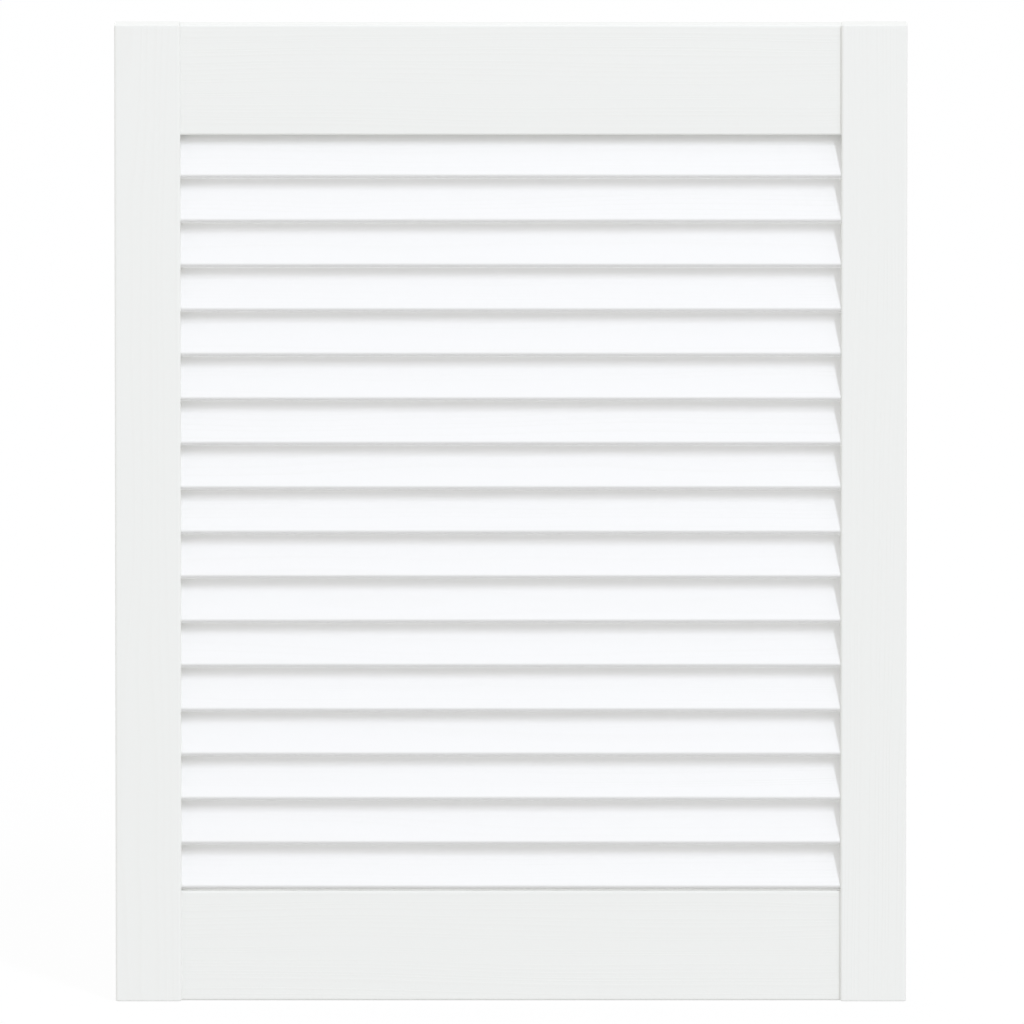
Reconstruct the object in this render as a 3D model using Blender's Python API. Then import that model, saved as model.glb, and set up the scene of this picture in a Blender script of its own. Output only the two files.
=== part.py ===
"""Louvred cabinet door in white painted pine.

Two stiles and two thinner rails are joined by fluted dowels, and fixed louvres sit in sloping
housings routed in the stiles. Metres, +Z up. The front faces -Y, and the origin is the middle of
the bottom edge.
"""

import math

import bmesh
import bpy
from mathutils import Matrix, Vector

# Overall size
DOOR_WIDTH = 0.494
DOOR_HEIGHT = 0.615
DOOR_THICKNESS = 0.021

# Frame members
STILE_WIDTH = 0.041
RAIL_HEIGHT = 0.0695
RAIL_THICKNESS = 0.014
ARRIS_RADIUS = 0.0015
END_ARRIS_RADIUS = 0.0008

# Louvres: the tilt is measured from the vertical, the setback from the faces of the stiles
LOUVRE_TILT_DEGREES = 27.0
LOUVRE_THICKNESS = 0.006
LOUVRE_EDGE_RADIUS = 0.0015
LOUVRE_SETBACK = 0.00195
LOUVRE_AIR_GAP = 0.0066
LOUVRE_TO_RAIL_GAP = 0.0006
HOUSING_DEPTH = 0.008

# Dowels in the corner joints
DOWEL_DIAMETER = 0.008
DOWEL_LENGTH = 0.030
DOWEL_CHAMFER = 0.001
DOWELS_PER_JOINT = 2
DOWEL_FLUTES = 14
DOWEL_FLUTE_DEPTH = 0.0004
GLUE_ROOM = 0.001

# Gap left between pieces that seat on each other
FIT_GAP = 0.0003

# Facets
QUARTER_STEPS = 4
END_ARRIS_STEPS = 2
BORE_SIDES = 24
SHARP_ANGLE = math.radians(35.0)

# Finishes: colour, roughness
WHITE_FRAME_PAINT = ((0.86, 0.87, 0.865), 0.45)
WHITE_LOUVRE_PAINT = ((0.87, 0.88, 0.885), 0.42)
BARE_BEECH = ((0.58, 0.37, 0.21), 0.65)

# Opening between the frame members
OPENING_WIDTH = DOOR_WIDTH - 2 * STILE_WIDTH
OPENING_HEIGHT = DOOR_HEIGHT - 2 * RAIL_HEIGHT
OPENING_HALF_WIDTH = OPENING_WIDTH / 2

# Which way each stile lies from the middle, and how high each rail's centre line lies
SIDES = {"left": -1, "right": 1}
RAIL_CENTRES = {"top": DOOR_HEIGHT - RAIL_HEIGHT / 2, "bottom": RAIL_HEIGHT / 2}

# Louvre section: as wide as the setback from both faces allows at this tilt, with less than half its
# thickness rounded
TILT = math.radians(LOUVRE_TILT_DEGREES)
LARGEST_EDGE_RADIUS = 0.45 * LOUVRE_THICKNESS
EDGE_RADIUS = min(LOUVRE_EDGE_RADIUS, LARGEST_EDGE_RADIUS)
ROUNDING_LOSS = 2 * EDGE_RADIUS * (math.sin(TILT) + math.cos(TILT) - 1)
LOUVRE_DEPTH = DOOR_THICKNESS - 2 * LOUVRE_SETBACK
LOUVRE_WIDTH = (LOUVRE_DEPTH + ROUNDING_LOSS - LOUVRE_THICKNESS * math.cos(TILT)) / math.sin(TILT)
LOUVRE_RISE = LOUVRE_WIDTH * math.cos(TILT) + LOUVRE_THICKNESS * math.sin(TILT) - ROUNDING_LOSS
LOUVRE_HALF_LENGTH = OPENING_HALF_WIDTH + HOUSING_DEPTH - FIT_GAP

# Louvre pattern: as many as the opening takes with at least the air gap between neighbours
LEAST_PITCH = (LOUVRE_THICKNESS + LOUVRE_AIR_GAP) / math.sin(TILT)
LOUVRE_TRAVEL = OPENING_HEIGHT - LOUVRE_RISE - 2 * LOUVRE_TO_RAIL_GAP
LOUVRE_SPACES = max(1, int(LOUVRE_TRAVEL / LEAST_PITCH))
LOUVRE_PITCH = LOUVRE_TRAVEL / LOUVRE_SPACES
LOUVRE_COUNT = LOUVRE_SPACES + 1
TOP_LOUVRE_HEIGHT = DOOR_HEIGHT - RAIL_HEIGHT - LOUVRE_TO_RAIL_GAP - LOUVRE_RISE / 2

# The arris of the inner edges stays clear of the housings
ARRIS = min(ARRIS_RADIUS, LOUVRE_SETBACK - FIT_GAP)


def clear_scene():
    for item in list(bpy.data.objects):
        bpy.data.objects.remove(item, do_unlink=True)


def painted(name, finish):
    """A Principled material of one colour and roughness."""
    colour, roughness = finish
    material = bpy.data.materials.new(name)
    material.use_nodes = True
    shader = material.node_tree.nodes["Principled BSDF"]
    shader.inputs["Base Color"].default_value = (*colour, 1.0)
    shader.inputs["Roughness"].default_value = roughness
    shader.inputs["Metallic"].default_value = 0.0
    return material


def rounded_rectangle(width, height, radius):
    """Outline points of a rectangle about the origin whose corners are quarter circles."""
    points = []
    for corner in range(4):
        turn = corner * math.pi / 2
        side_u = 1 if corner in (0, 3) else -1
        side_v = 1 if corner in (0, 1) else -1
        centre_u = side_u * (width / 2 - radius)
        centre_v = side_v * (height / 2 - radius)
        for step in range(QUARTER_STEPS + 1):
            angle = turn + step * math.pi / 2 / QUARTER_STEPS
            points.append((centre_u + radius * math.cos(angle), centre_v + radius * math.sin(angle)))
    return points


def circle(radius):
    angles = [2 * math.pi * side / BORE_SIDES for side in range(BORE_SIDES)]
    return [(radius * math.cos(angle), radius * math.sin(angle)) for angle in angles]


def fluted_circle(radius):
    """A ring whose points fall in turn on the ridges and in the grooves between the flutes."""
    points = []
    for index in range(2 * DOWEL_FLUTES):
        angle = math.pi * index / DOWEL_FLUTES
        reach = radius - DOWEL_FLUTE_DEPTH * (index % 2)
        points.append((reach * math.cos(angle), reach * math.sin(angle)))
    return points


def across(x, outline):
    """An outline in (y, z), stood up at a place along X."""
    return [Vector((x, y, z)) for y, z in outline]


def level(z, outline):
    """An outline in (x, y), laid flat at a height."""
    return [Vector((x, y, z)) for x, y in outline]


def add_loft(shape, rings):
    """Add a closed body to a bmesh: walls through the rings in order, and a cap on each end."""
    loops = [[shape.verts.new(point) for point in ring] for ring in rings]
    for lower, upper in zip(loops, loops[1:]):
        for index in range(len(lower)):
            following = (index + 1) % len(lower)
            shape.faces.new((lower[index], lower[following], upper[following], upper[index]))
    shape.faces.new(loops[0])
    shape.faces.new(loops[-1])


def mesh_of_lofts(name, lofts):
    shape = bmesh.new()
    for rings in lofts:
        add_loft(shape, rings)
    bmesh.ops.recalc_face_normals(shape, faces=shape.faces[:])
    mesh = bpy.data.meshes.new(name)
    shape.to_mesh(mesh)
    shape.free()
    mesh.shade_smooth()
    mesh.set_sharp_from_angle(angle=SHARP_ANGLE)
    return mesh


def place(name, mesh, door, location=(0, 0, 0), tilt=0.0):
    """Add one piece of the door."""
    piece = bpy.data.objects.new(name, mesh)
    bpy.context.scene.collection.objects.link(piece)
    piece.parent = door
    piece.location = location
    piece.rotation_euler.x = tilt
    return piece


def place_cutter(name, lofts, door):
    cutter = place(name, mesh_of_lofts(name, lofts), door)
    cutter.hide_render = True
    cutter.display_type = "WIRE"
    return cutter


def cut(piece, cutter):
    modifier = piece.modifiers.new(cutter.name, "BOOLEAN")
    modifier.operation = "DIFFERENCE"
    modifier.solver = "EXACT"
    modifier.object = cutter


def louvre_heights():
    """Heights of the louvres' centre lines, from the top down."""
    return [TOP_LOUVRE_HEIGHT - index * LOUVRE_PITCH for index in range(LOUVRE_COUNT)]


def louvre_slope():
    """Turn about X that brings a level louvre to its slope, low at the front and high at the back."""
    return math.pi / 2 - TILT


def louvre_rings(half_length, growth):
    """A level louvre about its centre, grown all round for its housing."""
    section = rounded_rectangle(
        LOUVRE_WIDTH + 2 * growth,
        LOUVRE_THICKNESS + 2 * growth,
        EDGE_RADIUS + growth,
    )
    return [across(-half_length, section), across(half_length, section)]


def dowel_places():
    """Name and centre of each dowel: at both ends of each rail, spread evenly over its height."""
    places = []
    for rail, rail_centre in RAIL_CENTRES.items():
        for side_name, side in SIDES.items():
            for index in range(DOWELS_PER_JOINT):
                share = (index + 0.5) / DOWELS_PER_JOINT - 0.5
                name = f"dowel_{rail}_{side_name}_{index + 1}"
                centre = Vector((side * OPENING_HALF_WIDTH, 0, rail_centre - share * RAIL_HEIGHT))
                places.append((name, centre))
    return places


def make_housing_cutter(door):
    """The row of louvres grown by the fit gap, which leaves a blind sloping housing for each end."""
    lofts = []
    for height in louvre_heights():
        stand = Matrix.Translation((0, 0, height)) @ Matrix.Rotation(louvre_slope(), 4, "X")
        rings = louvre_rings(OPENING_HALF_WIDTH + HOUSING_DEPTH, FIT_GAP)
        lofts.append([[stand @ point for point in ring] for ring in rings])
    return place_cutter("housing_cutter", lofts, door)


def make_bore_cutter(door):
    """Bores across the corner joints, half in the stile and half in the rail."""
    reach = DOWEL_LENGTH / 2 + GLUE_ROOM
    bore = circle(DOWEL_DIAMETER / 2 + FIT_GAP)
    lofts = []
    for _, centre in dowel_places():
        lofts.append([[centre + point for point in across(x, bore)] for x in (-reach, reach)])
    return place_cutter("bore_cutter", lofts, door)


def make_stiles(door, material, housing_cutter, bore_cutter):
    """Full-height uprights with rounded long edges and lightly eased ends."""
    rings = []
    for step in range(END_ARRIS_STEPS + 1):
        angle = step * math.pi / 2 / END_ARRIS_STEPS
        inset = END_ARRIS_RADIUS * (1 - math.sin(angle))
        height = END_ARRIS_RADIUS * (1 - math.cos(angle))
        outline = rounded_rectangle(STILE_WIDTH - 2 * inset, DOOR_THICKNESS - 2 * inset, ARRIS)
        rings.append((height, outline))
    lower = [level(height, outline) for height, outline in rings]
    upper = [level(DOOR_HEIGHT - height, outline) for height, outline in reversed(rings)]
    mesh = mesh_of_lofts("stile", [lower + upper])
    mesh.materials.append(material)
    for side_name, side in SIDES.items():
        centre = side * (DOOR_WIDTH - STILE_WIDTH) / 2
        stile = place(f"{side_name}_stile", mesh, door, (centre, 0, 0))
        cut(stile, housing_cutter)
        cut(stile, bore_cutter)


def make_rails(door, material, bore_cutter):
    """Thinner cross members that butt against the stiles, flush with the ends of the stiles."""
    half_length = OPENING_HALF_WIDTH - FIT_GAP
    outline = rounded_rectangle(RAIL_THICKNESS, RAIL_HEIGHT, ARRIS)
    mesh = mesh_of_lofts("rail", [[across(-half_length, outline), across(half_length, outline)]])
    mesh.materials.append(material)
    for rail, centre in RAIL_CENTRES.items():
        cut(place(f"{rail}_rail", mesh, door, (0, 0, centre)), bore_cutter)


def make_louvres(door, material):
    mesh = mesh_of_lofts("louvre", [louvre_rings(LOUVRE_HALF_LENGTH, 0.0)])
    mesh.materials.append(material)
    for index, height in enumerate(louvre_heights()):
        place(f"louvre_{index + 1:02d}", mesh, door, (0, 0, height), louvre_slope())


def make_dowels(door, material):
    """Fluted pins with chamfered ends."""
    half = DOWEL_LENGTH / 2
    radius = DOWEL_DIAMETER / 2
    tip = fluted_circle(radius - DOWEL_CHAMFER)
    body = fluted_circle(radius)
    shoulder = half - DOWEL_CHAMFER
    rings = [across(-half, tip), across(-shoulder, body), across(shoulder, body), across(half, tip)]
    mesh = mesh_of_lofts("dowel", [rings])
    mesh.materials.append(material)
    for name, centre in dowel_places():
        place(name, mesh, door, centre)


def main():
    clear_scene()
    door = bpy.data.objects.new("louvred_door", None)
    bpy.context.scene.collection.objects.link(door)
    frame_paint = painted("white_frame_paint", WHITE_FRAME_PAINT)
    louvre_paint = painted("white_louvre_paint", WHITE_LOUVRE_PAINT)
    beech = painted("bare_beech", BARE_BEECH)
    housing_cutter = make_housing_cutter(door)
    bore_cutter = make_bore_cutter(door)
    make_stiles(door, frame_paint, housing_cutter, bore_cutter)
    make_rails(door, frame_paint, bore_cutter)
    make_louvres(door, louvre_paint)
    make_dowels(door, beech)


if __name__ == "__main__":
    main()
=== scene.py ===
"""Looks of a louvred cabinet door: satin white paint over pine, paint fillets, and a plain studio."""

import math
from typing import NamedTuple

import bmesh
import bpy
from bpy.props import FloatProperty, FloatVectorProperty, IntProperty, PointerProperty
from mathutils import Matrix, Vector


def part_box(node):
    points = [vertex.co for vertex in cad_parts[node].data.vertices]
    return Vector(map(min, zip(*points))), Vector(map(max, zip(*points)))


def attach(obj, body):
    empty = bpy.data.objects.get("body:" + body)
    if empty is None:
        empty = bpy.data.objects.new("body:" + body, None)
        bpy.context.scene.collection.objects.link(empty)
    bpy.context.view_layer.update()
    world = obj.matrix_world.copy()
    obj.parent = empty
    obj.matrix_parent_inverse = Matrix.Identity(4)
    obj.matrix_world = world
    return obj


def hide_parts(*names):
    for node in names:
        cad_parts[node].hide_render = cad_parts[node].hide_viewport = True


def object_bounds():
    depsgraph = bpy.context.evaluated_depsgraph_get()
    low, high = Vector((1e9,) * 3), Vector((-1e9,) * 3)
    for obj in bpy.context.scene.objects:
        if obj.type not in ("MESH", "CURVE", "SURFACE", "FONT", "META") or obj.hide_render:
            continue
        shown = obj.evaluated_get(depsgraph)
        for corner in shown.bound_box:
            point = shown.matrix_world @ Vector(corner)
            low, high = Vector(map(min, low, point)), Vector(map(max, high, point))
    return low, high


bl_info = {
    "name": "Louvred Cabinet Door",
    "version": (1, 0, 0),
    "blender": (4, 5, 0),
    "location": "3D View > Sidebar > Louvred Door",
    "description": "Paints a louvred cabinet door and sets up a plain studio for it",
    "category": "Object",
}

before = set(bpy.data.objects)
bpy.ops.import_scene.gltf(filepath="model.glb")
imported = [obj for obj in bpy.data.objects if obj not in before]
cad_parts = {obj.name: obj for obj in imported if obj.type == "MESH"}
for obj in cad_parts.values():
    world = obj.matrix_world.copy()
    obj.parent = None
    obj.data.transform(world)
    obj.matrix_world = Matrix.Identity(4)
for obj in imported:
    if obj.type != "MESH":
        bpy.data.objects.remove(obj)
CAD_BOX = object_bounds()

BODY = "root"
FRAME_SLOT = "frame_paint"
LOUVRE_SLOT = "louvre_paint"
BEECH_SLOT = "dowel_beech"
SIDES = {"left": -1, "right": 1}
RAILS = ("top", "bottom")
LOUVRES = sorted(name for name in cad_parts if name.startswith("louvre_"))
DOWELS = sorted(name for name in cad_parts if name.startswith("dowel_"))

# Facets of rounded edges, bores and flutes, and the turn past which an edge stays sharp
QUARTER_STEPS = 8
END_STEPS = 4
BORE_SIDES = 32
FLUTE_STEPS = 4
SHARP_TURN = math.radians(40.0)


class Figure(NamedTuple):
    """Noise drawn out along the grain: turns a metre along and over it, then its finer octaves."""

    along: float
    over: float
    detail: float
    roughness: float


LOG_WANDER = Figure(along=2.5, over=14.0, detail=2.0, roughness=0.5)
PINE_FIBRE = Figure(along=55.0, over=1700.0, detail=3.0, roughness=0.6)
PAINT_PATCHES = Figure(along=4.0, over=26.0, detail=3.0, roughness=0.5)
PAINT_SKIN = Figure(along=800.0, over=800.0, detail=2.0, roughness=0.5)
BEECH_RAYS = Figure(along=120.0, over=900.0, detail=4.0, roughness=0.6)
BEECH_FIBRE = Figure(along=200.0, over=4000.0, detail=2.0, roughness=0.6)
FLOOR_CLOUDS = Figure(along=1.0, over=1.0, detail=3.0, roughness=0.5)
MEAN_NOISE = 0.5

# Pine: how far from a log's heart boards are sawn and how far the log bends, in metres
LOG_SPREAD = 0.14
LOG_BEND = 0.016

# Pine: how often a metre the rings crowd and spread, by how many rings, and the shade over one ring
SEASON_TURNS = 110.0
SEASON_SHIFT = 4.0
LATE_WOOD = ((0.0, 0.0), (0.5, 0.10), (0.86, 1.0), (0.97, 0.0))

# Paint: how much each figure thins it, roughens it, rubs it smooth or raises it
THIN_ON_LATE_WOOD = 0.75
THIN_ON_FIBRE = 0.22
THIN_ON_ARRIS = 0.45
ROUGH_ON_FIBRE = 0.10
ROUGH_IN_PATCHES = 0.10
RUBBED_ON_ARRIS = 0.06
HIGH_ON_LATE_WOOD = 1.6
HIGH_ON_FIBRE = 0.35
HIGH_ON_SKIN = 0.30

# Beech: where flecks show among the rays, how dark flecks and fibre are, and the surface
BEECH_FLECKS = ((0.50, 0.0), (0.66, 1.0))
DARK_FLECKS = 0.55
DARK_FIBRE = 0.25
SUNK_FLECKS = 0.5
BEECH_RELIEF = 0.00005
BEECH_RELIEF_STRENGTH = 0.6
BEECH_ROUGHNESS = 0.58
BEECH_FIBRE_ROUGHNESS = 0.15

# Floor: its facets, its distance below the door and how much its clouds show
FLOOR_SIDES = 64
FLOOR_DROP = 0.0002
CLOUD_SHARE = 0.01
WHITE = (1.0, 1.0, 1.0, 1.0)


# Settings


class SectionSettings(bpy.types.PropertyGroup):
    """Rounded edges and louvre section, which the boxes of the CAD nodes don't give."""

    arris_radius: FloatProperty(
        name="Arris", description="Rounding of the long edges of the frame",
        default=0.0015, unit="LENGTH", precision=4)
    end_radius: FloatProperty(
        name="End arris", description="Easing of the sawn ends of the stiles",
        default=0.0008, unit="LENGTH", precision=4)
    louvre_tilt: FloatProperty(
        name="Louvre tilt", description="Lean of a louvre from the vertical",
        default=math.radians(27.0), subtype="ANGLE")
    louvre_thickness: FloatProperty(
        name="Louvre thickness", description="Thickness of a louvre",
        default=0.006, unit="LENGTH", precision=4)
    louvre_radius: FloatProperty(
        name="Louvre edge", description="Rounding of the long edges of a louvre",
        default=0.0015, unit="LENGTH", precision=4)
    seat_gap: FloatProperty(
        name="Seat gap", description="Clearance of louvres and dowels in their housings and bores",
        default=0.0001, unit="LENGTH", precision=5)
    fillet_radius: FloatProperty(
        name="Paint fillet", description="Radius of the paint that gathers in the inner corners",
        default=0.0005, unit="LENGTH", precision=5)
    fillet_root: FloatProperty(
        name="Fillet root", description="How far a paint fillet reaches into the joint behind it",
        default=0.0002, unit="LENGTH", precision=5)
    dowel_flutes: IntProperty(
        name="Dowel flutes", description="Number of flutes round a dowel", default=14)
    dowel_flute_depth: FloatProperty(
        name="Flute depth", description="Depth of the flutes of a dowel",
        default=0.0004, unit="LENGTH", precision=5)
    dowel_chamfer: FloatProperty(
        name="Dowel chamfer", description="Chamfer of the ends of a dowel",
        default=0.001, unit="LENGTH", precision=4)


class FinishSettings(bpy.types.PropertyGroup):
    """Paint and bare wood."""

    frame_white: FloatVectorProperty(
        name="Frame white", description="Paint of the stiles and rails",
        subtype="COLOR", size=3, min=0, max=1, default=(0.868, 0.874, 0.850))
    louvre_white: FloatVectorProperty(
        name="Louvre white", description="Paint of the louvres",
        subtype="COLOR", size=3, min=0, max=1, default=(0.8745, 0.874, 0.8705))
    thin_paint: FloatVectorProperty(
        name="Thin paint", description="Tone of the paint where it is thinnest, on late wood and arrises",
        subtype="COLOR", size=3, min=0, max=1, default=(0.76, 0.745, 0.70))
    show_through: FloatProperty(
        name="Show-through", description="How much the thin paint shows", subtype="FACTOR", default=0.16)
    ring_spacing: FloatProperty(
        name="Ring spacing", description="Width of a year ring of the pine under the paint",
        default=0.0030, unit="LENGTH", precision=4)
    grain_relief: FloatProperty(
        name="Grain relief", description="Height of the late wood felt through the paint",
        default=0.00004, unit="LENGTH", precision=6)
    satin: FloatProperty(
        name="Satin", description="Roughness of the paint", subtype="FACTOR", default=0.48)
    beech_pale: FloatVectorProperty(
        name="Beech", description="Ground colour of the bare dowels",
        subtype="COLOR", size=3, min=0, max=1, default=(0.62, 0.41, 0.24))
    beech_fleck: FloatVectorProperty(
        name="Beech flecks", description="Flecks and pores of the bare dowels",
        subtype="COLOR", size=3, min=0, max=1, default=(0.40, 0.22, 0.11))


class StageSettings(bpy.types.PropertyGroup):
    """Studio light, floor and camera."""

    key_from: FloatVectorProperty(
        name="Key from", description="Where the key light comes from",
        subtype="DIRECTION", size=3, default=(0.45, -1.0, 0.86))
    key_irradiance: FloatProperty(
        name="Key", description="Irradiance of the key light", default=0.91, min=0)
    key_tint: FloatVectorProperty(
        name="Key tint", description="Colour of the key light",
        subtype="COLOR", size=3, min=0, max=2, default=(0.944, 0.985, 1.084))
    key_breadth: FloatProperty(
        name="Key breadth", description="Angle that the key light covers from side to side",
        default=math.radians(5.0), subtype="ANGLE")
    key_reach: FloatProperty(
        name="Key reach", description="Angle that the key light covers from top to bottom",
        default=math.radians(24.0), subtype="ANGLE")
    back_from: FloatVectorProperty(
        name="Back from", description="Where the light behind the door comes from",
        subtype="DIRECTION", size=3, default=(-0.45, 1.0, 0.39))
    back_irradiance: FloatProperty(
        name="Back", description="Irradiance of the light behind the door", default=0.35, min=0)
    back_breadth: FloatProperty(
        name="Back breadth", description="Angle that the light behind the door covers each way",
        default=math.radians(40.0), subtype="ANGLE")
    lamp_distance: FloatProperty(
        name="Lamp distance", description="Distance from the lamps to the door", default=20.0, unit="LENGTH")
    ambient: FloatProperty(
        name="Ambient", description="Brightness of the room at eye level", default=1.16, min=0)
    ceiling: FloatProperty(
        name="Ceiling", description="Brightness of the ceiling as a share of the room's", default=0.60,
        min=0, subtype="FACTOR")
    floor_bounce: FloatProperty(
        name="Floor bounce", description="Brightness of the floor as the door sees it", default=0.62, min=0)
    floor_white: FloatVectorProperty(
        name="Floor", description="Colour that the camera sees on the floor",
        subtype="COLOR", size=3, min=0, max=1, default=(0.98, 0.98, 0.98))
    floor_glow: FloatProperty(
        name="Floor glow", description="Share of plain white that the camera sees on the floor",
        subtype="FACTOR", default=0.90)
    floor_radius: FloatProperty(
        name="Floor radius", description="Radius of the floor", default=40.0, unit="LENGTH")
    camera_elevation: FloatProperty(
        name="Camera elevation", description="How steeply the camera looks down",
        default=math.radians(8.0), subtype="ANGLE")
    camera_distance: FloatProperty(
        name="Camera distance", description="Distance from the camera to the door",
        default=20.0, unit="LENGTH")
    view_width: FloatProperty(
        name="View width", description="Width of the view at the door",
        default=0.6392, unit="LENGTH", precision=4)
    aim_aside: FloatProperty(
        name="Aim aside", description="How far right of the door's middle the camera aims",
        default=0.0007, unit="LENGTH", precision=4)
    aim_below: FloatProperty(
        name="Aim below", description="How far below the door's middle the camera aims",
        default=0.0, unit="LENGTH", precision=4)


class DoorSettings(bpy.types.PropertyGroup):
    """Everything that a user would change on the door and its studio."""

    section: PointerProperty(
        name="Section", description="Rounded edges and louvre section", type=SectionSettings)
    finish: PointerProperty(
        name="Finish", description="Paint and bare wood", type=FinishSettings)
    stage: PointerProperty(
        name="Stage", description="Studio light, floor and camera", type=StageSettings)


# Mesh helpers


def rounded_rectangle(width, height, radius):
    """Outline of a rectangle about the origin with quarter-round corners, in (u, v)."""
    points = []
    for corner in range(4):
        side_u = 1 if corner in (0, 3) else -1
        side_v = 1 if corner in (0, 1) else -1
        centre_u = side_u * (width / 2 - radius)
        centre_v = side_v * (height / 2 - radius)
        for step in range(QUARTER_STEPS + 1):
            angle = (corner + step / QUARTER_STEPS) * math.pi / 2
            points.append((centre_u + radius * math.cos(angle), centre_v + radius * math.sin(angle)))
    return points


def circle(radius):
    turns = [2 * math.pi * side / BORE_SIDES for side in range(BORE_SIDES)]
    return [(radius * math.cos(turn), radius * math.sin(turn)) for turn in turns]


def across(x, outline, stand=Matrix()):
    """An outline in (y, z) stood up at a place along X."""
    return [stand @ Vector((x, y, z)) for y, z in outline]


def level(z, outline):
    """An outline in (x, y) laid flat at a height."""
    return [Vector((x, y, z)) for x, y in outline]


def add_loft(shape, rings, closed=False):
    """Add walls through the rings in order, closed by caps, or by a last wall back to the first ring."""
    loops = [[shape.verts.new(point) for point in ring] for ring in rings]
    pairs = list(zip(loops, loops[1:]))
    if closed:
        pairs.append((loops[-1], loops[0]))
    for lower, upper in pairs:
        for index in range(len(lower)):
            following = (index + 1) % len(lower)
            shape.faces.new((lower[index], lower[following], upper[following], upper[index]))
    if not closed:
        shape.faces.new(loops[0])
        shape.faces.new(loops[-1])


def new_mesh(name, shape):
    """Turn a bmesh into a mesh with outward faces."""
    bmesh.ops.recalc_face_normals(shape, faces=shape.faces[:])
    mesh = bpy.data.meshes.new(name)
    shape.to_mesh(mesh)
    shape.free()
    return mesh


def new_object(name, data, stand=Matrix()):
    made = bpy.data.objects.new(name, data)
    made.matrix_world = stand
    bpy.context.scene.collection.objects.link(made)
    return made


def carve(piece, cutter_shape):
    """Cut housings or bores out of a piece and leave it as a plain mesh."""
    cutter = new_object("cutter", new_mesh("cutter", cutter_shape))
    cut = piece.modifiers.new("cut", "BOOLEAN")
    cut.operation = "DIFFERENCE"
    cut.solver = "EXACT"
    cut.object = cutter
    bpy.context.view_layer.update()
    evaluated = piece.evaluated_get(bpy.context.evaluated_depsgraph_get())
    carved = bpy.data.meshes.new_from_object(evaluated)
    if len(carved.polygons) <= len(piece.data.polygons):
        raise RuntimeError(f"the housings and bores of {piece.name} weren't cut")
    piece.modifiers.clear()
    piece.data = carved
    bpy.data.objects.remove(cutter)


def ease_shading(piece):
    """Smooth round edges and keep flat faces flat."""
    piece.data.shade_smooth()
    piece.data.set_sharp_from_angle(angle=SHARP_TURN)
    weighted = piece.modifiers.new("flat faces", "WEIGHTED_NORMAL")
    weighted.keep_sharp = True


def mark(mesh, name, values):
    """Store one number for each point, for the paint to read."""
    mesh.attributes.new(name, "FLOAT", "POINT").data.foreach_set("value", values)


def mark_arris(mesh, axes, extent, radius):
    """Mark how far round a long edge each point lies, from its distances to the faces along two axes."""
    values = []
    for vertex in mesh.vertices:
        farther = max(extent[axis] / 2 - abs(vertex.co[axis]) for axis in axes)
        values.append(min(1.0, max(0.0, 1.0 - farther / radius)))
    mark(mesh, "arris", values)


def finish_piece(piece, board, material, slot, *nodes):
    """Give a piece its board number, paint and place on the door."""
    mark(piece.data, "board", [float(board)] * len(piece.data.vertices))
    piece.data.materials.clear()
    piece.data.materials.append(material)
    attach(piece, BODY)
    if nodes:
        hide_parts(*nodes)


# Shapes shared by the pieces


def middle(box):
    low, high = box
    return (low + high) / 2


def size(box):
    low, high = box
    return high - low


def inner_face(side_name):
    """Place along X of the inner face of a stile."""
    low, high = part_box(f"{side_name}_stile")
    return low.x if SIDES[side_name] > 0 else high.x


def louvre_extent(section):
    """Length, width and thickness of a louvre whose tilted section fills the depth of its CAD box."""
    box_size = size(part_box(LOUVRES[0]))
    tilt = section.louvre_tilt
    trimmed = 2 * section.louvre_radius * (math.sin(tilt) + math.cos(tilt) - 1)
    width = (box_size.y + trimmed - section.louvre_thickness * math.cos(tilt)) / math.sin(tilt)
    return Vector((box_size.x, width, section.louvre_thickness))


def louvre_outline(section, growth):
    extent = louvre_extent(section)
    return rounded_rectangle(
        extent.y + 2 * growth, extent.z + 2 * growth, section.louvre_radius + growth)


def louvre_stand(section, name):
    """Where a louvre stands, and its slope: low at the front and high at the back."""
    slope = Matrix.Rotation(math.pi / 2 - section.louvre_tilt, 4, "X")
    return Matrix.Translation(middle(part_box(name))) @ slope


def rail_outline(section, extent, growth):
    return rounded_rectangle(extent.y + 2 * growth, extent.z + 2 * growth, section.arris_radius + growth)


def add_bores(shape, section, names):
    """Bores for dowels, a little larger than the dowels themselves."""
    for name in names:
        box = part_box(name)
        reach = size(box).x / 2 + section.seat_gap
        bore = circle(size(box).y / 2 + section.seat_gap)
        stand = Matrix.Translation(middle(box))
        add_loft(shape, [across(x, bore, stand) for x in (-reach, reach)])


def add_fillet(shape, section, outline_at, stand, way, path=None):
    """Add a hollow paint fillet where a piece meets the inner face of a stile.

    outline_at gives the piece's outline grown by an amount, stand puts the outline on the stile's face,
    way points out of the stile, and path picks the outline's points where the fillet stops short of a ring.
    """
    radius = section.fillet_radius
    profile = [(-section.fillet_root, -section.fillet_root)]
    for step in range(QUARTER_STEPS + 1):
        angle = step / QUARTER_STEPS * math.pi / 2
        profile.append((radius * (1 - math.sin(angle)), radius * (1 - math.cos(angle))))
    rings = [across(way * reach, outline_at(growth), stand) for growth, reach in profile]
    if path is None:
        add_loft(shape, rings, closed=True)
    else:
        add_loft(shape, [[ring[index] for ring in rings] for index in path])


# Shader helpers


def opaque(colour):
    return (*colour, 1.0)


def evenly(value):
    return (value, value, value)


def along_grain(axis, along, over):
    """A vector with one value along the grain, which runs along X, Y or Z, and another over it."""
    values = [over, over, over]
    values["XYZ".index(axis)] = along
    return tuple(values)


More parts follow.
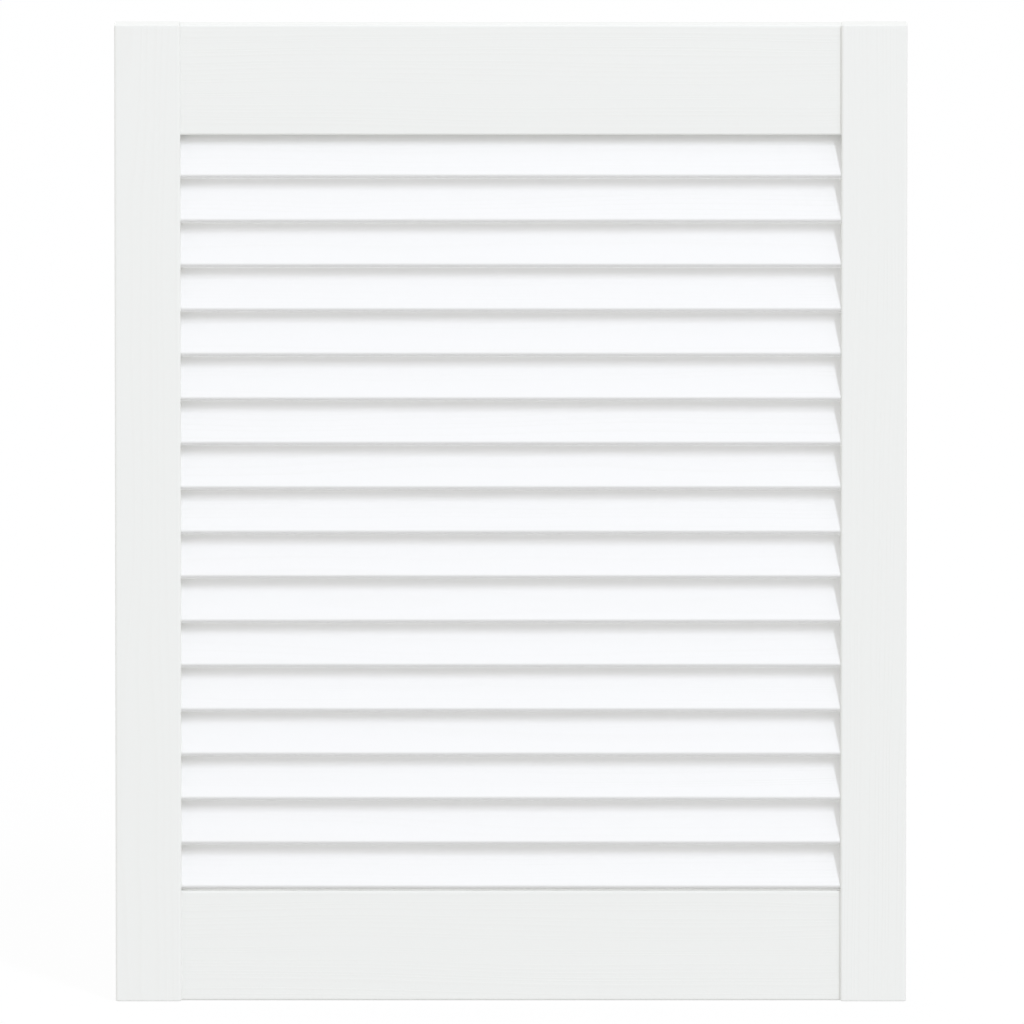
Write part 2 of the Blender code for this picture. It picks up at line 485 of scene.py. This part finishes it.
class Socket:
    """A shader socket that takes part in sums as a number does."""

    def __init__(self, finish, link):
        self.finish = finish
        self.link = link

    def maths(self, operation, first, second):
        return self.finish.node("ShaderNodeMath", {"operation": operation}, {0: first, 1: second})

    def __add__(self, other):
        return self.maths("ADD", self, other)

    def __sub__(self, other):
        return self.maths("SUBTRACT", self, other)

    def __rsub__(self, other):
        return self.maths("SUBTRACT", other, self)

    def __mul__(self, other):
        return self.maths("MULTIPLY", self, other)

    __radd__ = __add__
    __rmul__ = __mul__


class Finish:
    """A node tree under construction."""

    def __init__(self, tree):
        self.tree = tree
        self.tree.nodes.clear()

    def node(self, kind, settings=None, inputs=None, output=0):
        """Add a node, set it up, feed its sockets and return one of its outputs."""
        made = self.tree.nodes.new(kind)
        for name, value in (settings or {}).items():
            if name == "stops":
                self.set_stops(made.color_ramp, value)
            else:
                setattr(made, name, value)
        for name, value in (inputs or {}).items():
            if isinstance(value, Socket):
                self.tree.links.new(value.link, made.inputs[name])
            else:
                made.inputs[name].default_value = value
        return Socket(self, made.outputs[output]) if made.outputs else None

    @staticmethod
    def set_stops(ramp, stops):
        while len(ramp.elements) < len(stops):
            ramp.elements.new(1.0)
        for element, (position, shade) in zip(ramp.elements, stops):
            element.position = position
            element.color = (shade, shade, shade, 1.0)

    def ramp(self, value, stops):
        return self.node("ShaderNodeValToRGB", {"stops": stops}, {"Fac": value})

    def mix(self, share, first, second):
        """Mix two colours."""
        return self.node(
            "ShaderNodeMix", {"data_type": "RGBA"}, {0: share, 6: first, 7: second}, output=2)

    def vector(self, operation, first, second):
        return self.node("ShaderNodeVectorMath", {"operation": operation}, {0: first, 1: second})

    def noise(self, place, axis, figure, output=0):
        """A figure whose grain runs along X, Y or Z."""
        drawn_out = self.vector("MULTIPLY", place, along_grain(axis, figure.along, figure.over))
        octaves = {"Detail": figure.detail, "Roughness": figure.roughness}
        return self.node(
            "ShaderNodeTexNoise", {"noise_dimensions": "3D"},
            {"Vector": drawn_out, "Scale": 1.0, **octaves}, output)

    def attribute(self, name):
        return self.node("ShaderNodeAttribute", {"attribute_name": name}, output="Fac")

    def surface(self, shader):
        self.node("ShaderNodeOutputMaterial", None, {"Surface": shader})


def new_material(name):
    material = bpy.data.materials.new(name)
    material.use_nodes = True
    return material, Finish(material.node_tree)


def log_of(finish):
    """Three random numbers for the log that a board is sawn from."""
    board = finish.attribute("board")
    return finish.node("ShaderNodeTexWhiteNoise", {"noise_dimensions": "1D"}, {"W": board}, output="Color")


def late_wood_of(finish, sawn, axis, settings):
    """Dark end of each year ring, round the heart of a log that isn't quite straight."""
    wander = finish.noise(sawn, axis, LOG_WANDER, "Color")
    bent = finish.vector("ADD", sawn, finish.vector("MULTIPLY", wander, evenly(LOG_BEND)))
    around = finish.vector("MULTIPLY", bent, along_grain(axis, 0.0, 1.0))
    radius = finish.node("ShaderNodeVectorMath", {"operation": "LENGTH"}, {0: around}, output="Value")
    seasons = finish.node(
        "ShaderNodeTexNoise", {"noise_dimensions": "1D"},
        {"W": radius * SEASON_TURNS, "Scale": 1.0, "Detail": 1.0})
    years = radius * (1.0 / settings.ring_spacing) + seasons * SEASON_SHIFT
    rings = finish.node("ShaderNodeMath", {"operation": "FRACT"}, {0: years})
    return finish.ramp(rings, LATE_WOOD)


def painted_pine(name, white, axis, settings):
    """Satin white paint, with the year rings of the pine just showing through it."""
    material, finish = new_material(name)
    place = finish.node("ShaderNodeTexCoord", output="Object")
    arris = finish.attribute("arris")
    off_centre = finish.vector("SUBTRACT", log_of(finish), evenly(MEAN_NOISE))
    heart = finish.vector("MULTIPLY", off_centre, evenly(LOG_SPREAD))
    sawn = finish.vector("ADD", place, heart)

    late_wood = late_wood_of(finish, sawn, axis, settings)
    fibre = finish.noise(sawn, axis, PINE_FIBRE)
    patches = finish.noise(sawn, axis, PAINT_PATCHES)
    skin = finish.noise(place, axis, PAINT_SKIN)

    thin = late_wood * patches * THIN_ON_LATE_WOOD + fibre * THIN_ON_FIBRE + arris * THIN_ON_ARRIS
    colour = finish.mix(thin * settings.show_through, opaque(white), opaque(settings.thin_paint))
    uneven = (fibre - MEAN_NOISE) * ROUGH_ON_FIBRE + (patches - MEAN_NOISE) * ROUGH_IN_PATCHES
    roughness = settings.satin + uneven - arris * RUBBED_ON_ARRIS
    height = late_wood * patches * HIGH_ON_LATE_WOOD + fibre * HIGH_ON_FIBRE + skin * HIGH_ON_SKIN
    relief = finish.node(
        "ShaderNodeBump", None, {"Strength": 1.0, "Distance": settings.grain_relief, "Height": height})
    shader = finish.node(
        "ShaderNodeBsdfPrincipled", None,
        {"Base Color": colour, "Roughness": roughness, "Normal": relief})
    finish.surface(shader)
    return material


def bare_beech(name, settings):
    """Pinkish brown beech with short dark flecks along the dowel."""
    material, finish = new_material(name)
    place = finish.node("ShaderNodeTexCoord", output="Object")
    sawn = finish.vector("ADD", place, log_of(finish))
    flecks = finish.ramp(finish.noise(sawn, "X", BEECH_RAYS), BEECH_FLECKS)
    fibre = finish.noise(sawn, "X", BEECH_FIBRE)
    dark = flecks * DARK_FLECKS + fibre * DARK_FIBRE
    colour = finish.mix(dark, opaque(settings.beech_pale), opaque(settings.beech_fleck))
    roughness = BEECH_ROUGHNESS + fibre * BEECH_FIBRE_ROUGHNESS
    height = fibre - flecks * SUNK_FLECKS
    relief = finish.node(
        "ShaderNodeBump", None,
        {"Strength": BEECH_RELIEF_STRENGTH, "Distance": BEECH_RELIEF, "Height": height})
    shader = finish.node(
        "ShaderNodeBsdfPrincipled", None,
        {"Base Color": colour, "Roughness": roughness, "Normal": relief})
    finish.surface(shader)
    return material


def seen_directly(finish):
    """One for what the camera sees, also in gloss and through glass, and nothing for other light."""
    camera, glossy, transmission = (
        finish.node("ShaderNodeLightPath", output=f"Is {kind} Ray")
        for kind in ("Camera", "Glossy", "Transmission"))
    return finish.node("ShaderNodeClamp", None, {"Value": camera + glossy + transmission})


# Operators


class DoorOperator:
    """What the door's operators share."""

    bl_options = {"REGISTER", "UNDO"}

    @staticmethod
    def paint(context, kind, axis):
        """The paint of the frame or the louvres, made once for each way that the grain runs."""
        settings = context.scene.louvred_door.finish
        name = f"{kind}_paint_grain_{axis.lower()}"
        white = settings.frame_white if kind == "frame" else settings.louvre_white
        return bpy.data.materials.get(name) or painted_pine(name, white, axis, settings)


class LOUVRED_DOOR_OT_stiles(DoorOperator, bpy.types.Operator):
    """Build the painted stiles with their sloping housings and dowel bores"""

    bl_idname = "louvred_door.stiles"
    bl_label = "Stiles"

    def execute(self, context):
        section = context.scene.louvred_door.section
        for board, side_name in enumerate(SIDES):
            node = f"{side_name}_stile"
            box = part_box(node)
            extent = size(box)
            shape = bmesh.new()
            add_loft(shape, self.rings(section, extent))
            piece = new_object(f"{node}_painted", new_mesh(node, shape), Matrix.Translation(middle(box)))
            carve(piece, self.cutters(section, side_name))
            mark_arris(piece.data, (0, 1), extent, section.arris_radius)
            ease_shading(piece)
            finish_piece(piece, board, self.paint(context, "frame", "Z"), FRAME_SLOT, node)
        return {"FINISHED"}

    @staticmethod
    def rings(section, extent):
        """Outlines up a stile, drawn in a little at both ends."""
        eased = []
        for step in range(END_STEPS + 1):
            angle = step / END_STEPS * math.pi / 2
            inset = section.end_radius * (1 - math.sin(angle))
            height = extent.z / 2 - section.end_radius * (1 - math.cos(angle))
            outline = rounded_rectangle(extent.x - 2 * inset, extent.y - 2 * inset, section.arris_radius)
            eased.append((height, outline))
        foot = [level(-height, outline) for height, outline in eased]
        head = [level(height, outline) for height, outline in reversed(eased)]
        return foot + head

    @staticmethod
    def cutters(section, side_name):
        """Louvres and dowels of one side, grown by the seat gap."""
        shape = bmesh.new()
        reach = louvre_extent(section).x / 2 + section.seat_gap
        for name in LOUVRES:
            stand = louvre_stand(section, name)
            outline = louvre_outline(section, section.seat_gap)
            add_loft(shape, [across(x, outline, stand) for x in (-reach, reach)])
        add_bores(shape, section, [name for name in DOWELS if f"_{side_name}_" in name])
        return shape


class LOUVRED_DOOR_OT_rails(DoorOperator, bpy.types.Operator):
    """Build the painted rails, which meet the inner faces of the stiles"""

    bl_idname = "louvred_door.rails"
    bl_label = "Rails"

    def execute(self, context):
        section = context.scene.louvred_door.section
        ends = [inner_face(side_name) for side_name in SIDES]
        for board, rail in enumerate(RAILS, start=len(SIDES)):
            node = f"{rail}_rail"
            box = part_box(node)
            extent = size(box)
            outline = rail_outline(section, extent, 0.0)
            shape = bmesh.new()
            add_loft(shape, [across(x, outline) for x in ends])
            piece = new_object(f"{node}_painted", new_mesh(node, shape), Matrix.Translation(middle(box)))
            bores = bmesh.new()
            add_bores(bores, section, [name for name in DOWELS if name.startswith(f"dowel_{rail}_")])
            carve(piece, bores)
            mark_arris(piece.data, (1, 2), extent, section.arris_radius)
            ease_shading(piece)
            finish_piece(piece, board, self.paint(context, "frame", "X"), FRAME_SLOT, node)
        return {"FINISHED"}


class LOUVRED_DOOR_OT_louvres(DoorOperator, bpy.types.Operator):
    """Build the painted louvres with rounded edges"""

    bl_idname = "louvred_door.louvres"
    bl_label = "Louvres"

    def execute(self, context):
        section = context.scene.louvred_door.section
        extent = louvre_extent(section)
        outline = louvre_outline(section, 0.0)
        for board, node in enumerate(LOUVRES, start=len(SIDES) + len(RAILS)):
            shape = bmesh.new()
            add_loft(shape, [across(x, outline) for x in (-extent.x / 2, extent.x / 2)])
            piece = new_object(f"{node}_painted", new_mesh(node, shape), louvre_stand(section, node))
            mark_arris(piece.data, (1, 2), extent, section.louvre_radius)
            ease_shading(piece)
            finish_piece(piece, board, self.paint(context, "louvre", "X"), LOUVRE_SLOT, node)
        return {"FINISHED"}


class LOUVRED_DOOR_OT_fillets(DoorOperator, bpy.types.Operator):
    """Build the fillets of paint where louvres and rails meet the stiles"""

    bl_idname = "louvred_door.fillets"
    bl_label = "Paint fillets"

    def execute(self, context):
        section = context.scene.louvred_door.section
        for board, (side_name, side) in enumerate(SIDES.items()):
            to_stile = Matrix.Translation(Vector((inner_face(side_name), 0, 0)))
            shape = bmesh.new()
            for name in LOUVRES:
                add_fillet(
                    shape, section, lambda growth: louvre_outline(section, growth),
                    to_stile @ louvre_stand(section, name), -side)
            for rail in RAILS:
                self.add_rail_fillet(shape, section, rail, to_stile, -side)
            piece = new_object(f"paint_fillets_{side_name}", new_mesh("paint_fillets", shape))
            piece.data.shade_smooth()
            piece.data.set_sharp_from_angle(angle=SHARP_TURN)
            mark(piece.data, "arris", [0.0] * len(piece.data.vertices))
            finish_piece(piece, board, self.paint(context, "frame", "Z"), FRAME_SLOT)
        return {"FINISHED"}

    @staticmethod
    def add_rail_fillet(shape, section, rail, to_stile, way):
        """Along one face of a rail, round its inner edge and along the other face."""
        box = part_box(f"{rail}_rail")
        extent = size(box)
        # The outline starts at its upper back corner, and the rail's inner edge joins two of the corners
        corner = QUARTER_STEPS + 1
        first = 2 * corner - 1 if rail == "top" else 4 * corner - 1
        path = [(first + index) % (4 * corner) for index in range(2 * corner + 2)]
        stand = to_stile @ Matrix.Translation(middle(box))
        add_fillet(shape, section, lambda growth: rail_outline(section, extent, growth), stand, way, path)


class LOUVRED_DOOR_OT_dowels(DoorOperator, bpy.types.Operator):
    """Build the fluted dowels hidden in the corner joints"""

    bl_idname = "louvred_door.dowels"
    bl_label = "Dowels"

    def execute(self, context):
        settings = context.scene.louvred_door
        beech = bare_beech("bare_beech", settings.finish)
        chamfer = settings.section.dowel_chamfer
        for board, node in enumerate(DOWELS):
            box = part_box(node)
            extent = size(box)
            tip = self.fluted(settings.section, extent.y / 2 - chamfer)
            body = self.fluted(settings.section, extent.y / 2)
            end = extent.x / 2
            places = ((-end, tip), (chamfer - end, body), (end - chamfer, body), (end, tip))
            shape = bmesh.new()
            add_loft(shape, [across(x, outline) for x, outline in places])
            piece = new_object(f"{node}_beech", new_mesh(node, shape), Matrix.Translation(middle(box)))
            ease_shading(piece)
            finish_piece(piece, board, beech, BEECH_SLOT, node)
        return {"FINISHED"}

    @staticmethod
    def fluted(section, radius):
        """A ring that rises and falls smoothly between ridges and grooves."""
        points = []
        count = FLUTE_STEPS * section.dowel_flutes
        for index in range(count):
            turn = 2 * math.pi * index / count
            dip = (1 - math.cos(section.dowel_flutes * turn)) / 2
            reach = radius - section.dowel_flute_depth * dip
            points.append((reach * math.cos(turn), reach * math.sin(turn)))
        return points


class LOUVRED_DOOR_OT_stage(DoorOperator, bpy.types.Operator):
    """Set up the floor, the light and the camera"""

    bl_idname = "louvred_door.stage"
    bl_label = "Stage"

    def execute(self, context):
        settings = context.scene.louvred_door.stage
        self.lay_floor(settings)
        self.light_room(context, settings)
        key = self.hang_lamp(
            "key_light", settings, settings.key_from, settings.key_irradiance,
            settings.key_breadth, settings.key_reach)
        key.color = settings.key_tint
        self.hang_lamp(
            "back_light", settings, settings.back_from, settings.back_irradiance,
            settings.back_breadth, settings.back_breadth)
        self.place_camera(context, settings)
        context.scene.view_settings.view_transform = "Standard"
        return {"FINISHED"}

    @staticmethod
    def lay_floor(settings):
        """A wide pale floor, which the camera sees nearly white with a trace of the shadow."""
        shape = bmesh.new()
        bmesh.ops.create_circle(shape, cap_ends=True, segments=FLOOR_SIDES, radius=settings.floor_radius)
        below = Matrix.Translation(Vector((0, 0, CAD_BOX[0].z - FLOOR_DROP)))
        floor = new_object("floor", new_mesh("floor", shape), below)
        material, finish = new_material("pale_floor")
        clouds = finish.noise(finish.node("ShaderNodeTexCoord", output="Object"), "X", FLOOR_CLOUDS)
        matte = finish.node("ShaderNodeBsdfDiffuse", None, {"Color": opaque(settings.floor_white)})
        white = finish.node("ShaderNodeEmission", None, {"Color": WHITE, "Strength": 1.0})
        bounce = finish.node("ShaderNodeEmission", None, {"Color": WHITE, "Strength": settings.floor_bounce})
        glow = settings.floor_glow + clouds * CLOUD_SHARE
        shown = finish.node("ShaderNodeMixShader", None, {0: glow, 1: matte, 2: white})
        seen = seen_directly(finish)
        finish.surface(finish.node("ShaderNodeMixShader", None, {0: seen, 1: bounce, 2: shown}))
        floor.data.materials.append(material)

    @staticmethod
    def light_room(context, settings):
        """Light all round, softer from the ceiling, on a white background."""
        world = bpy.data.worlds.new("studio")
        world.use_nodes = True
        context.scene.world = world
        finish = Finish(world.node_tree)
        direction = finish.node("ShaderNodeTexCoord", output="Generated")
        height = finish.node("ShaderNodeSeparateXYZ", None, {"Vector": direction}, output="Z")
        upward = finish.node("ShaderNodeClamp", None, {"Value": height})
        walls = finish.mix(upward, WHITE, opaque(evenly(settings.ceiling)))
        room = finish.node("ShaderNodeBackground", None, {"Color": walls, "Strength": settings.ambient})
        white = finish.node("ShaderNodeBackground", None, {"Color": WHITE, "Strength": 1.0})
        seen = seen_directly(finish)
        mixed = finish.node("ShaderNodeMixShader", None, {0: seen, 1: room, 2: white})
        finish.node("ShaderNodeOutputWorld", None, {"Surface": mixed})

    @staticmethod
    def hang_lamp(name, settings, comes_from, irradiance, breadth, reach):
        """A flat lamp that faces the middle of the door and covers two angles as seen from there."""
        distance = settings.lamp_distance
        lamp = bpy.data.lights.new(name, "AREA")
        lamp.shape = "RECTANGLE"
        lamp.size = 2 * distance * math.tan(breadth / 2)
        lamp.size_y = 2 * distance * math.tan(reach / 2)
        lamp.energy = irradiance * math.pi * distance**2
        place = middle(CAD_BOX) + distance * comes_from.normalized()
        facing = (-comes_from).to_track_quat("-Z", "Y").to_matrix().to_4x4()
        new_object(name, lamp, Matrix.Translation(place) @ facing).visible_camera = False
        return lamp

    @staticmethod
    def place_camera(context, settings):
        """A distant camera with a long lens, in front of the door and a little above it."""
        lens = bpy.data.cameras.new("camera")
        lens.lens = lens.sensor_width * settings.camera_distance / settings.view_width
        lens.clip_end = settings.camera_distance + 2 * settings.floor_radius
        aim = middle(CAD_BOX) + Vector((settings.aim_aside, 0, -settings.aim_below))
        elevation = settings.camera_elevation
        away = Vector((0, -math.cos(elevation), math.sin(elevation)))
        facing = (-away).to_track_quat("-Z", "Y").to_matrix().to_4x4()
        stand = Matrix.Translation(aim + away * settings.camera_distance) @ facing
        context.scene.camera = new_object("camera", lens, stand)


class LOUVRED_DOOR_PT_panel(bpy.types.Panel):
    """Lists the steps that build the door, and their settings"""

    bl_idname = "LOUVRED_DOOR_PT_panel"
    bl_label = "Louvred Door"
    bl_space_type = "VIEW_3D"
    bl_region_type = "UI"
    bl_category = "Louvred Door"

    def draw(self, context):
        for operator in OPERATORS:
            self.layout.operator(operator.bl_idname)
        settings = context.scene.louvred_door
        for group in (settings.section, settings.finish, settings.stage):
            box = self.layout.box()
            for name in group.__annotations__:
                box.prop(group, name)


OPERATORS = (
    LOUVRED_DOOR_OT_stiles,
    LOUVRED_DOOR_OT_rails,
    LOUVRED_DOOR_OT_louvres,
    LOUVRED_DOOR_OT_fillets,
    LOUVRED_DOOR_OT_dowels,
    LOUVRED_DOOR_OT_stage,
)
SETTINGS = (SectionSettings, FinishSettings, StageSettings, DoorSettings)
CLASSES = (*SETTINGS, *OPERATORS, LOUVRED_DOOR_PT_panel)


def register():
    for each in CLASSES:
        bpy.utils.register_class(each)
    bpy.types.Scene.louvred_door = PointerProperty(type=DoorSettings)


def unregister():
    del bpy.types.Scene.louvred_door
    for each in reversed(CLASSES):
        bpy.utils.unregister_class(each)


def main():
    register()
    bpy.ops.louvred_door.stiles()
    bpy.ops.louvred_door.rails()
    bpy.ops.louvred_door.louvres()
    bpy.ops.louvred_door.fillets()
    bpy.ops.louvred_door.dowels()
    bpy.ops.louvred_door.stage()


if __name__ == "__main__":
    main()
